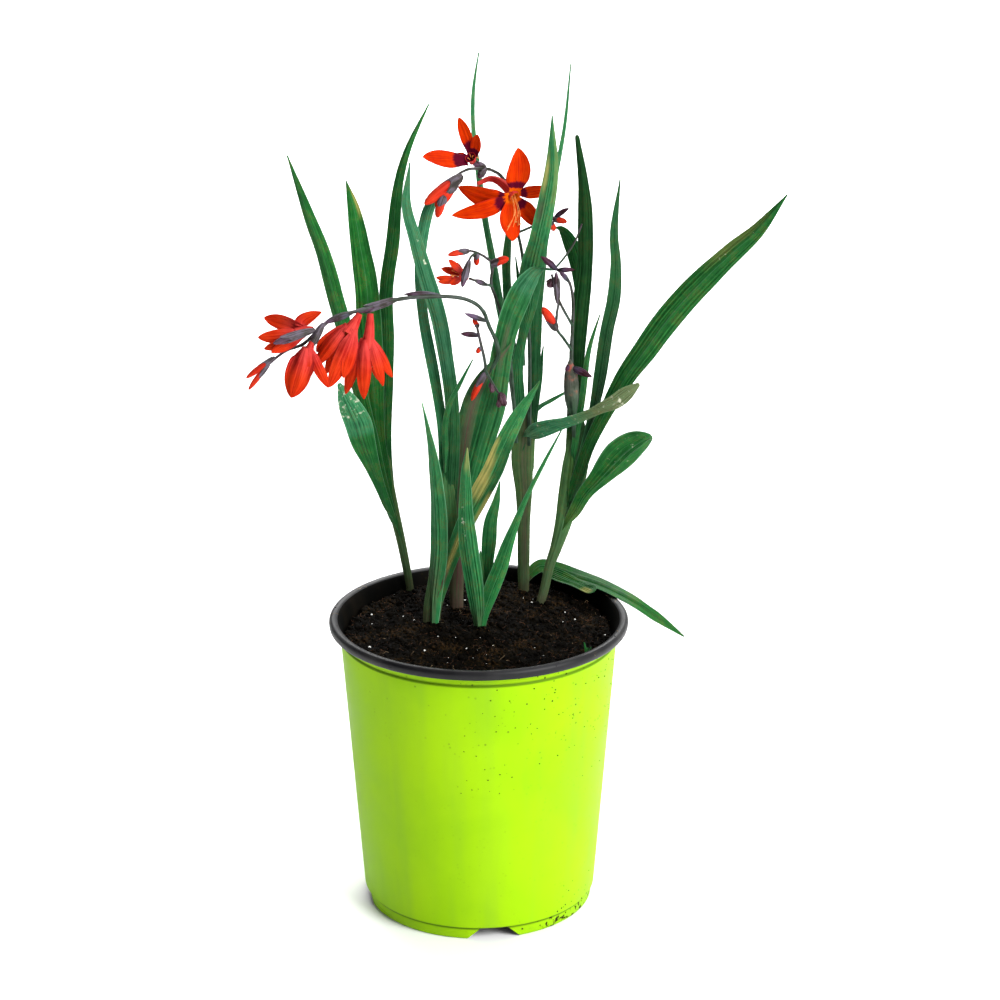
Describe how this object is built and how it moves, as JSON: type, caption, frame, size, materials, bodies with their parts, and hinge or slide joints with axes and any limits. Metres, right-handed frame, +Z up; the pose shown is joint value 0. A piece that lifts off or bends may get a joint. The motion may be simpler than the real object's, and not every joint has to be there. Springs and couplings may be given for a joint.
{
  "type": "potted crocosmia",
  "caption": "Crocosmia with sword leaves and arching sprays of orange-red flowers, standing in moist soil in a round plastic nursery pot.",
  "frame": {"origin": "centre of the pot's underside, on the plane it stands on", "axes": "+Z up through the pot's centre; -Y towards the plant's open side"},
  "size_m": [0.2937, 0.1865, 0.4741],
  "materials": {
    "pot": "satin lime-green outside, black inside, charcoal rim",
    "soil": "moist crumbly potting mix with perlite",
    "leaf": "ribbed green sword leaf",
    "stem": "slate-green stem with purple-grey bracts",
    "petal": "satin orange-red petal"
  },
  "bodies": {
    "root": {"pot": "pot", "soil": "soil", "shoot_left": "leaf", "shoot_front_left": "leaf", "shoot_middle": "leaf", "shoot_front_short": "leaf", "shoot_rear": "leaf", "shoot_right": "leaf", "spray_left": "stem", "spray_low": "stem", "spray_centre": "stem", "spray_top": "stem", "spray_right": "stem", "bloom_left_outer": "petal", "bloom_left_lower": "petal", "bloom_left_inner": "petal", "bloom_left_hanging": "petal", "bloom_top_left": "petal", "bloom_top_front": "petal", "bloom_centre": "petal"}
  },
  "joints": []
}
